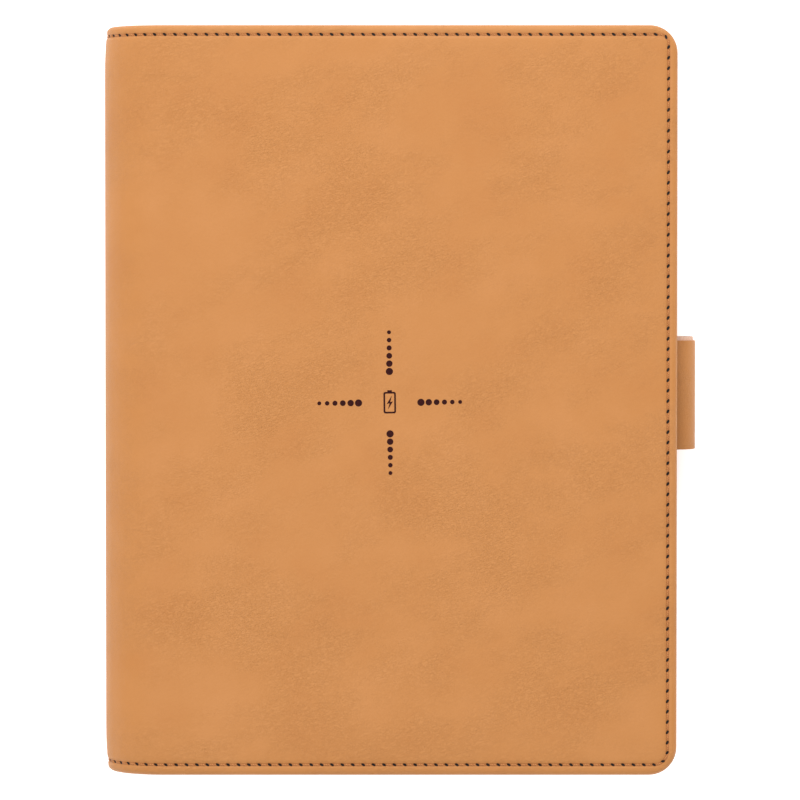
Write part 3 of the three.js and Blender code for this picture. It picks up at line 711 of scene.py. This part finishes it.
def rim_section():
    """The leather's section from well inside the cover, out over the turned edge, round the
    lip and back inside: rows of (inset, height, share of the relief)."""
    wall = DEPTH_FRONT - RIM_SHORT
    rows = [(t, 0.0, 1.0) for t in (CORNER, 7.2, 6.0, 5.0, 4.3, 3.8, 3.4, 3.0, 2.6, 2.2)]
    for degrees in (20, 40, 60, 78):
        a = math.radians(degrees)
        rows.append((ROLL * (1 - math.sin(a)), -ROLL * (1 - math.cos(a)), 1 - degrees / 180))
    half = LEATHER / 2
    rows += [(0.0, -ROLL, 0.5), (0.0, half - wall, 0.0)]
    for degrees in (45, 90, 135):
        a = math.radians(degrees)
        rows.append((half - half * math.cos(a), half - wall - half * math.sin(a), 0.0))
    rows += [(LEATHER, half - wall, 0.0), (LEATHER, -ROLL - 0.6, 0.4)]
    rows += [(LEATHER + 0.4, -LEATHER - 0.5, 0.8), (ROLL + 0.4, -LEATHER, 1.0)]
    rows += [(t, -LEATHER, 1.0) for t in (3.0, 3.8, 5.4, CORNER)]
    return rows


class Sheet:
    """Gathers points and faces, and makes one point of those that coincide."""

    def __init__(self):
        self.rows, self.index, self.faces = [], {}, []

    def point(self, s, y, w, share=1.0):
        key = (round(s, 3), round(y, 3), round(w, 3))
        if key not in self.index:
            self.index[key] = len(self.rows)
            self.rows.append((s, y, w, share))
        return self.index[key]

    def face(self, points):
        around = list(dict.fromkeys(points))
        if len(around) > 2:
            self.faces.append(around)


def outline_path(s_from, s_to):
    """Runs of (s, y, inward s, inward y) along the leather's cut edge."""
    columns = round((s_to - max(s_from, CORNER)) / STEP)
    across = [s_to - i * STEP for i in range(columns + 1)]
    head = [(s, HEAD, 0, -1) for s in across]
    tail = [(s, -HEAD, 0, 1) for s in across[::-1]]
    if s_from > 0:
        return [head, tail]
    inner = HEAD - CORNER
    count = CORNER_STITCHES * QUARTERS

    def arc(centre_y, first):
        angles = [math.radians(first + 90 * i / count) for i in range(1, count)]
        return [
            (CORNER * (1 + math.cos(a)), centre_y + CORNER * math.sin(a), -math.cos(a), -math.sin(a))
            for a in angles
        ]

    rows = FORE_STITCHES * QUARTERS
    fore = [(0, inner - i * FORE_STEP, 1, 0) for i in range(rows + 1)]
    return [head + arc(inner, 90) + fore + arc(-inner, 180) + tail]


def cover_leather(name, s_from, s_to, back):
    """One piece of the leather, from s_from to s_to in from the fore edge."""
    sheet = Sheet()
    section = rim_section()
    for path in outline_path(s_from, s_to):
        rings = []
        for s, y, in_s, in_y in path:
            ring = [sheet.point(s + in_s * t, y + in_y * t, w, share) for t, w, share in section[1:-1]]
            rings.append(ring)
        for one, two in zip(rings, rings[1:]):
            for k in range(len(one) - 1):
                sheet.face([one[k], one[k + 1], two[k + 1], two[k]])
        for first in range(0, len(path) - 1, 2):
            for end, k in ((0, 0), (-1, -1)):
                t, w, share = section[end]
                inner = [
                    sheet.point(s + in_s * t, y + in_y * t, w, share)
                    for s, y, in_s, in_y in (path[first], path[first + 2])
                ]
                outer = [rings[first + i][k] for i in range(3)]
                sheet.face([inner[0], *outer, inner[1]])
    s_low = max(s_from, CORNER)
    s_values = [s_to - 2 * i * STEP for i in range(round((s_to - s_low) / STEP / 2) + 1)]
    y_values = [HEAD - CORNER - 2 * j * FORE_STEP for j in range(FORE_STITCHES * QUARTERS // 2 + 1)]
    for w in (0.0, -LEATHER):
        for s_a, s_b in zip(s_values, s_values[1:]):
            for y_a, y_b in zip(y_values, y_values[1:]):
                corners = ((s_a, y_a), (s_b, y_a), (s_b, y_b), (s_a, y_b))
                sheet.face([sheet.point(s, y, w) for s, y in corners])
    s, y, w, share = np.array(sheet.rows).T
    u = WHOLE - s if back else s
    deeper = (total_depth(u) - RIM_SHORT - ROLL) / (DEPTH_FRONT - RIM_SHORT - ROLL)
    w = np.where(w < -ROLL, -ROLL + (w + ROLL) * deeper, w)
    lift = relief(u, y)
    piece = new_piece(name, fold(u, y, w + lift * share), sheet.faces, "leather", closing=True)
    phase, off = SEAM.nearest(s, y)
    stitched = np.where(w > -1, off, 9)
    add_attribute(piece, "grain", np.stack([u, y, w], axis=1))
    add_attribute(piece, "stitch", np.stack([phase, stitched, 0 * off], axis=1))
    return piece


def bend_with(piece):
    """Bakes the piece's placement into its mesh."""
    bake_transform(piece)


def add_leather():
    pieces = [
        cover_leather("leather_front", 0, FIRST_SEAM, back=False),
        cover_leather("leather_spine_front", FIRST_SEAM, MID_SPINE, back=False),
        cover_leather("leather_spine_back", FIRST_SEAM, MID_SPINE, back=True),
        cover_leather("leather_back", 0, FIRST_SEAM, back=True),
    ]
    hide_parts("front_cover_leather")
    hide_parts("spine_leather_3")
    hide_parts("spine_leather_1", "spine_leather_2")
    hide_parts("back_cover_leather")
    for span, piece in enumerate(pieces):
        bend_with(piece)


add_leather()


# ------------------------------------------------------------ stitches


def stitches(name, phases, back):
    """Threads between the needle holes, on the outside and on the lining."""
    reach = 0.4
    share = np.linspace(-1, 1, 7)
    sides = [math.radians(45 * i) for i in range(8)]
    phase, q, inside = (part.ravel() for part in np.meshgrid(phases, share, (0, 1), indexing="ij"))
    order = np.lexsort((q, inside, phase))
    phase, q, inside = phase[order], q[order], inside[order]
    s, y = SEAM.at(phase + reach * q)
    s_next, y_next = SEAM.at(phase + reach * q + 0.02)
    run = np.hypot(s_next - s, y_next - y)
    across_s, across_y = -(y_next - y) / run, (s_next - s) / run
    s, y = s + 0.14 * q * across_s, y + 0.14 * q * across_y
    u = WHOLE - s if back else s
    on_top = relief(u, y) + 0.06 - 0.2 * q**4
    below = -total_depth(u) - 0.02 + 0.4 * q**4
    middle = np.where(inside > 0, below, on_top)
    thick = 1 - 0.3 * q**2
    rows = []
    for side in sides:
        wide = 0.23 * math.cos(side) * thick
        high = 0.17 * math.sin(side) * thick
        step_s = s + across_s * wide
        rows.append(fold(WHOLE - step_s if back else step_s, y + across_y * wide, middle + high))
    rows = np.stack(rows, axis=1).reshape(-1, 3)
    around, along, faces = len(sides), len(share), []
    for thread in range(len(s) // along):
        first = thread * along * around
        for k in range(along - 1):
            a = first + k * around
            for i in range(around):
                j = (i + 1) % around
                faces.append((a + i, a + j, a + around + j, a + around + i))
        faces.append(tuple(range(first, first + around)))
        last = first + (along - 1) * around
        faces.append(tuple(range(last, last + around)))
    piece = new_piece(name, rows, faces, "thread")
    return piece


def add_stitches():
    last = SEAM.last()
    phases = np.arange(0.5, last + 0.1)
    s, _ = SEAM.at(phases)
    spine = s > FIRST_SEAM
    inner = spine & (s < MID_SPINE - 0.1)
    pieces = [
        stitches("stitches_front", phases[~spine], back=False),
        stitches("stitches_spine_front", phases[spine], back=False),
        stitches("stitches_spine_back", phases[inner], back=True),
        stitches("stitches_back", phases[~spine], back=True),
    ]
    for span, piece in enumerate(pieces):
        bend_with(piece)


# ------------------------------------------------------------ linings and padding


def slab(name, s_values, y_values, heights, back, material, keep=None, corner=0.0):
    """A sheet on a grid of the flat cover. heights gives its outer and inner face, keep
    says which cells it has, and corner rounds its two corners at the fore edge."""
    first_s, far_y = s_values[0], max(y_values)
    past = np.clip(np.abs(y_values) - (far_y - corner), 0, corner)
    shift = corner - np.sqrt(np.maximum(corner**2 - past**2, 0))
    grid_s, grid_y = np.meshgrid(s_values, y_values, indexing="ij")
    ease = np.clip(1 - (grid_s - first_s) / 24, 0, 1)
    s = (grid_s + shift[None, :] * ease).ravel()
    y = grid_y.ravel()
    u = WHOLE - s if back else s
    outer, inner = heights(u, y)
    rows = np.concatenate([fold(u, y, outer), fold(u, y, inner)])
    wide, tall = len(s_values), len(y_values)
    faces, edges = [], {}
    for i in range(wide - 1):
        for j in range(tall - 1):
            middle = (s_values[i] + s_values[i + 1]) / 2, (y_values[j] + y_values[j + 1]) / 2
            if keep and not keep(*middle):
                continue
            a, b = i * tall + j, (i + 1) * tall + j
            cell = (a, b, b + 1, a + 1)
            faces.append(cell)
            faces.append(tuple(k + wide * tall for k in cell[::-1]))
            for one, two in zip(cell, cell[1:] + cell[:1]):
                edges[tuple(sorted((one, two)))] = edges.get(tuple(sorted((one, two))), 0) + 1
    for (one, two), count in edges.items():
        if count == 1:
            faces.append((one, two, two + wide * tall, one + wide * tall))
    used = sorted({k for face in faces for k in face})
    place = {k: n for n, k in enumerate(used)}
    faces = [tuple(place[k] for k in face) for face in faces]
    return new_piece(name, rows[used], faces, material, smooth_angle=50)


def steps_with(edges, step):
    """Sorted values that pass through each of edges, no further apart than step."""
    values = []
    for low, high in zip(edges, edges[1:]):
        values += spaced(low, high, step)[:-1]
    return np.array(values + [edges[-1]])


def rows_along(margin, corner, step, *edges):
    """The y values of a sheet whose corners are rounded."""
    far = HEAD - margin
    turns = [far - corner + corner * math.sin(math.radians(15 * i)) for i in range(7)]
    inner = steps_with(sorted([corner - far, *edges, far - corner]), step)
    return np.concatenate([-np.array(turns[::-1])[:-1], inner, turns[1:]])


def lining_heights(u, y):
    inner = -total_depth(u)
    return inner + LINING, inner


def foam_heights(u, y):
    return relief(u, y) - LEATHER - 0.05, np.full(len(u), board_high.z - TOP + 0.02)


def add_linings():
    margin = LEATHER + 0.2
    window_x, window_y = BANK.x + 0.5, BANK.y + 0.5
    corner = CORNER - margin
    window_s = [FORE_EDGE - window_x, FORE_EDGE + window_x]

    def beside_window(s, y):
        return not (window_s[0] < s < window_s[1] and abs(y) < window_y)

    panel_s = steps_with([margin, 3, 9, *window_s, FLAT], 4)
    turn_s = steps_with([FLAT, FIRST_SEAM - JOIN, FIRST_SEAM], 1.5)
    spine_s = steps_with([FIRST_SEAM, FIRST_SEAM + JOIN, MID_SPINE - JOIN, MID_SPINE], 1.5)
    cover_s = np.concatenate([panel_s, turn_s[1:]])
    front_y = rows_along(margin, corner, 5, -window_y, window_y)
    back_y = rows_along(margin, corner, 5)
    pieces = [
        slab("lining_front", cover_s, front_y, lining_heights, False, "lining", beside_window, corner),
        slab("lining_spine_front", spine_s, front_y, lining_heights, False, "lining"),
        slab("lining_spine_back", spine_s, back_y, lining_heights, True, "lining"),
        slab("lining_back", cover_s, back_y, lining_heights, True, "lining", None, corner),
    ]
    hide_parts("front_lining")
    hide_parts("spine_lining_3")
    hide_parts("spine_lining_2", "spine_lining_1")
    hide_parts("back_lining")
    for span, piece in enumerate(pieces):
        bend_with(piece)
    foam_s = steps_with([margin, 3, 9, 15, FLAT], 3)
    foam = slab("foam_pad", foam_s, rows_along(margin, corner, 3), foam_heights, False, "foam", None, corner)
    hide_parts("front_foam_pad")
    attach(foam, "front_cover")


# ------------------------------------------------------------ the charging mark


def ring_of(x, y, radius, count=16):
    turns = [2 * math.pi * i / count for i in range(count)]
    return [(x + radius * math.cos(a), y + radius * math.sin(a)) for a in turns]


def rounded_box(half_x, half_y, radius):
    points = []
    for number, (way_x, way_y) in enumerate(((1, 1), (-1, 1), (-1, -1), (1, -1))):
        for i in range(5):
            a = math.radians(90 * number + 22.5 * i)
            centre_x, centre_y = way_x * (half_x - radius), way_y * (half_y - radius)
            points.append((centre_x + radius * math.cos(a), centre_y + radius * math.sin(a)))
    return points


def add_charging_mark():
    """Four rows of dots round a battery with a bolt, printed a little proud."""
    middle_x, middle_y, tilt = -0.6, -0.45, math.radians(0.6)
    sunk, proud = -0.3, 0.035
    flat, faces = [], []

    def place(points):
        first = len(flat)
        for height in (sunk, proud):
            for x, y in points:
                turned_x = middle_x + x * math.cos(tilt) - y * math.sin(tilt)
                turned_y = middle_y + x * math.sin(tilt) + y * math.cos(tilt)
                flat.append((FORE_EDGE - turned_x, turned_y, height))
        return first

    def wall(first, count):
        for i in range(count):
            j = (i + 1) % count
            faces.append((first + i, first + j, first + count + j, first + count + i))

    def solid(points):
        first, count = place(points), len(points)
        faces.append(tuple(range(first, first + count)))
        faces.append(tuple(range(first + count, first + 2 * count)))
        wall(first, count)

    def frame_of(outer, inner):
        count = len(outer)
        one, two = place(outer), place(inner)
        wall(one, count)
        wall(two, count)
        for level in (0, count):
            for i in range(count):
                j = (i + 1) % count
                faces.append((one + level + i, one + level + j, two + level + j, two + level + i))

    first_dot, dot_pitch = 9.55, 2.4
    for number, across in enumerate((2.22, 1.98, 1.77, 1.56, 1.38, 1.2)):
        out = first_dot + number * dot_pitch
        for x, y in ((out, 0), (0, out), (-out, 0), (0, -out)):
            solid(ring_of(x, y, across / 2))
    half_x, half_y, line = 1.9, 3.3, 0.52
    frame_of(rounded_box(half_x, half_y, 0.6), rounded_box(half_x - line, half_y - line, 0.25))
    cap = [(0.7, half_y - 0.05), (0.7, half_y + 0.5), (-0.7, half_y + 0.5), (-0.7, half_y - 0.05)]
    solid(cap)
    bolt = [(0.66, 2.15), (-0.92, -0.38), (-0.06, -0.22), (-0.56, -2.15), (0.98, 0.36), (0.18, 0.2)]
    solid(bolt)
    s, y, height = np.array(flat).T
    mark = new_piece("charging_mark", fold(s, y, relief(s, y) + height), faces, "ink", smooth_angle=30)
    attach(mark, "front_cover")


# ------------------------------------------------------------ swept strips and wires


def sweep(name, path, section, material, smooth_angle=50):
    """A closed section carried along a path in X and Z. Each section point is (out of the
    path, along Y)."""
    path = np.array(path, float)
    ahead = np.gradient(path, axis=0)
    ahead /= np.linalg.norm(ahead, axis=1)[:, None]
    out = np.stack([-ahead[:, 1], ahead[:, 0]], axis=1)
    rows, faces, count = [], [], len(section)
    for point, normal in zip(path, out):
        for away, y in section:
            rows.append(((point[0] + away * normal[0]) * MM, y * MM, (point[1] + away * normal[1]) * MM))
    for k in range(len(path) - 1):
        for i in range(count):
            j = (i + 1) % count
            a = k * count
            faces.append((a + i, a + j, a + count + j, a + count + i))
    faces.append(tuple(range(count)))
    faces.append(tuple(range(len(rows) - count, len(rows))))
    return new_piece(name, rows, faces, material, smooth_angle)


def strip_section(half_thick, low, high, radius=0.25):
    """A flat strip's section with rounded corners, and points along it."""
    points = []
    for y_mid, first in ((high - radius, 0), (low + radius, 180)):
        for i in range(5):
            a = math.radians(first + 45 * i)
            reach = half_thick - radius
            side = reach * (1 if math.cos(a) > 0.01 else -1 if math.cos(a) < -0.01 else 0)
            points.append((side + radius * math.cos(a), y_mid + radius * math.sin(a)))
    return points


def add_pen_loop():
    """A leather strip and a pale backing, bent round together past the fore edge."""
    low, high = box_mm("pen_loop")
    radius = (high.z - low.z) / 2
    middle_x, middle_z = high.x - radius, low.z + radius
    backing_thick, strip_thick = 0.6, 0.68

    def path(inset):
        turning = radius - inset
        points = [(x, low.z + inset) for x in spaced(low.x, middle_x, 1.5)[:-1]]
        for degrees in spaced(-90, 196, 6):
            a = math.radians(degrees)
            points.append((middle_x + turning * math.cos(a), middle_z + turning * math.sin(a)))
        return points

    head_gap = 1.2
    strip = sweep(
        "pen_loop_leather",
        path(strip_thick / 2),
        strip_section(strip_thick / 2, low.y, high.y - head_gap),
        "leather",
    )
    backing = sweep(
        "pen_loop_backing",
        path(strip_thick + backing_thick / 2),
        strip_section(backing_thick / 2, low.y + 0.1, high.y, 0.2),
        "raw_edge",
    )
    for piece in (strip, backing):
        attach(piece, "back_cover")
    rows = np.array([v.co for v in strip.data.vertices]) / MM
    turn = np.arctan2(rows[:, 2] - middle_z, rows[:, 0] - middle_x) * radius
    add_attribute(strip, "grain", np.stack([turn + 40, rows[:, 1] + 300, 0 * turn], axis=1))
    add_attribute(strip, "stitch", np.tile((0.0, 9.0, 0.0), (len(rows), 1)))
    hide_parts("pen_loop")


def wire_section(radius, y):
    turns = [2 * math.pi * i / 16 for i in range(16)]
    return [(radius * math.cos(a), y + radius * math.sin(a)) for a in turns]


def smooth_path(points, steps=6):
    """A Catmull-Rom curve through the points."""
    points = [np.array(p, float) for p in points]
    points = [2 * points[0] - points[1], *points, 2 * points[-1] - points[-2]]
    made = []
    for a, b, c, d in zip(points, points[1:], points[2:], points[3:]):
        for i in range(steps):
            t = i / steps
            bend = 2 * a - 5 * b + 4 * c - d
            twist = 3 * b - a - 3 * c + d
            made.append(0.5 * (2 * b + (c - a) * t + bend * t**2 + twist * t**3))
    return [tuple(p) for p in made] + [tuple(points[-2])]


def add_rings():
    """Round wire halves in place of the faceted ones."""
    places = sorted(name for name in frame["nodes"] if name.startswith("ring_right_"))
    for name in places:
        low, high = box_mm(name)
        left_low, left_high = box_mm(name.replace("right", "left"))
        wire = (high.y - low.y) / 2
        y = (high.y + low.y) / 2
        seam = (left_high.x + low.x) / 2
        foot = high.x - wire - seam
        top = high.z - wire
        root = low.z
        bulge = seam - (left_low.x + wire)
        gap = (low.x - left_high.x) / 2
        bend = [
            (seam + foot * math.cos(math.radians(a)), top - foot + foot * math.sin(math.radians(a)))
            for a in range(0, 90, 9)
        ]
        right = [(seam + foot, z) for z in spaced(root, top - foot, 1.5)[:-1]] + bend + [(seam + gap, top)]
        height = top - root
        shape = (
            (-foot, 0), (-foot - 0.2, 0.11), (1.2 - bulge, 0.33), (-bulge, 0.58),
            (1.9 - bulge, 0.83), (-foot, 0.975), (-1.2, 1.0), (-gap, 1.0),
        )
        left = smooth_path([(seam + x, root + height * share) for x, share in shape])
        halves = (
            (name, right, "rings_right"),
            (name.replace("right", "left"), left, "rings_left"),
        )
        for node, path, body in halves:
            piece = sweep(node + "_wire", path, wire_section(wire, y), "steel")
            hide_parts(node)
            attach(piece, body)


# ------------------------------------------------------------ hard parts


def polished(nodes, material, bevel):
    """Copies of CAD nodes with clean faces and softened edges."""
    bodies = frame["record"]["behaviour"]["bodies"]
    for node in nodes:
        mesh = frame["nodes"][node].data.copy()
        bm = bmesh.new()
        bm.from_mesh(mesh)
        bmesh.ops.remove_doubles(bm, verts=bm.verts, dist=0.00001)
        bmesh.ops.dissolve_limit(bm, angle_limit=math.radians(1.5), verts=bm.verts, edges=bm.edges)
        sharp = [e for e in bm.edges if len(e.link_faces) == 2 and e.calc_face_angle() > math.radians(35)]
        bmesh.ops.bevel(
            bm, geom=sharp, offset=bevel * MM, offset_type="OFFSET", segments=2,
            profile=0.5, affect="EDGES", clamp_overlap=True,
        )
        bmesh.ops.recalc_face_normals(bm, faces=bm.faces)
        bm.to_mesh(mesh)
        bm.free()
        piece = finish_piece(node + "_finished", mesh, material, smooth_angle=40)
        weighting = piece.modifiers.new("flat_faces", "WEIGHTED_NORMAL")
        weighting.keep_sharp = True
        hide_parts(node)
        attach(piece, next(body for body, members in bodies.items() if node in members))


def matching(*starts):
    return sorted(name for name in frame["nodes"] if name.startswith(starts))


def recoated(nodes, material):
    """CAD nodes whose shape is right get their material."""
    for node in nodes:
        mesh = frame["nodes"][node].data
        mesh.materials.clear()
        mesh.materials.append(MATERIALS[material])


def add_hard_parts():
    polished(["power_bank_case_top", "power_bank_case_bottom"], "case", 0.35)
    polished(["power_button"], "button", 0.25)
    polished(["ring_base_plate"], "steel", 0.12)
    polished(["ring_lever_head", "ring_lever_tail"], "steel", 0.2)
    polished(matching("case_screw_"), "steel", 0.1)
    polished(["usb_a_socket", "usb_c_socket"], "steel", 0.08)
    polished(["paper_stack"], "ruled_paper", 0.12)
    polished(["back_pocket"], "lining", 0.25)
    recoated(matching("ring_carrier_", "ring_rivet_"), "steel")
    recoated(["front_cover_board", "back_cover_board", *matching("spine_stiffener_")], "board")
    recoated(["charging_coil"], "coil")
    recoated(["coil_ferrite_sheet"], "ferrite")
    recoated(["battery_cell"], "foil")
    recoated(["charger_circuit_board"], "circuit")
    recoated(["power_switch"], "case")
    recoated(["indicator_light_guide"], "clear")


add_stitches()
add_linings()
add_charging_mark()
add_pen_loop()
add_rings()
add_hard_parts()


# ------------------------------------------------------------ floor and lights


# The floor's half width and how far it lies below the book, and each light, in metres and watts.
FLOOR_HALF = 1.6
FLOOR_LEVEL = -0.0004
FLOOR_GLOW = 0.45
ROOM_LIGHT = 0.75
SOFTBOXES = {
    "head_softbox": {"place": (0.0, 0.95, 0.75), "aim": (0, 0.02, 0), "size": (1.3, 0.5), "power": 9},
    "overhead_softbox": {"place": (-0.35, -0.1, 1.2), "aim": (0, 0, 0), "size": (0.8, 0.8), "power": 4},
}


def add_stage():
    mesh = bpy.data.meshes.new("floor")
    corners = ((-1, -1), (1, -1), (1, 1), (-1, 1))
    points = [(x * FLOOR_HALF, y * FLOOR_HALF, FLOOR_LEVEL) for x, y in corners]
    mesh.from_pydata(points, [], [(0, 1, 2, 3)])
    floor = bpy.data.objects.new("floor", mesh)
    bpy.context.scene.collection.objects.link(floor)
    shader = Shader("pale_floor", rough=0.9, specular=0.1)
    shader.colour(rgb(250, 250, 250))
    shader.shader.inputs["Emission Color"].default_value = (1, 1, 1, 1)
    shader.shader.inputs["Emission Strength"].default_value = FLOOR_GLOW
    mesh.materials.append(shader.material)


def add_light(name, place, aim, size, power):
    data = bpy.data.lights.new(name, "AREA")
    data.shape = "RECTANGLE"
    data.size, data.size_y = size
    data.energy = power
    light = bpy.data.objects.new(name, data)
    bpy.context.scene.collection.objects.link(light)
    light.location = place
    light.rotation_euler = (Vector(aim) - Vector(place)).to_track_quat("-Z", "Y").to_euler()


def add_lights():
    world = bpy.data.worlds.new("studio")
    world.use_nodes = True
    world.node_tree.nodes["Background"].inputs["Color"].default_value = (1, 1, 1, 1)
    world.node_tree.nodes["Background"].inputs["Strength"].default_value = ROOM_LIGHT
    bpy.context.scene.world = world
    for name, settings in SOFTBOXES.items():
        add_light(name, **settings)


bpy.context.scene.view_settings.view_transform = "Standard"
add_stage()
add_lights()
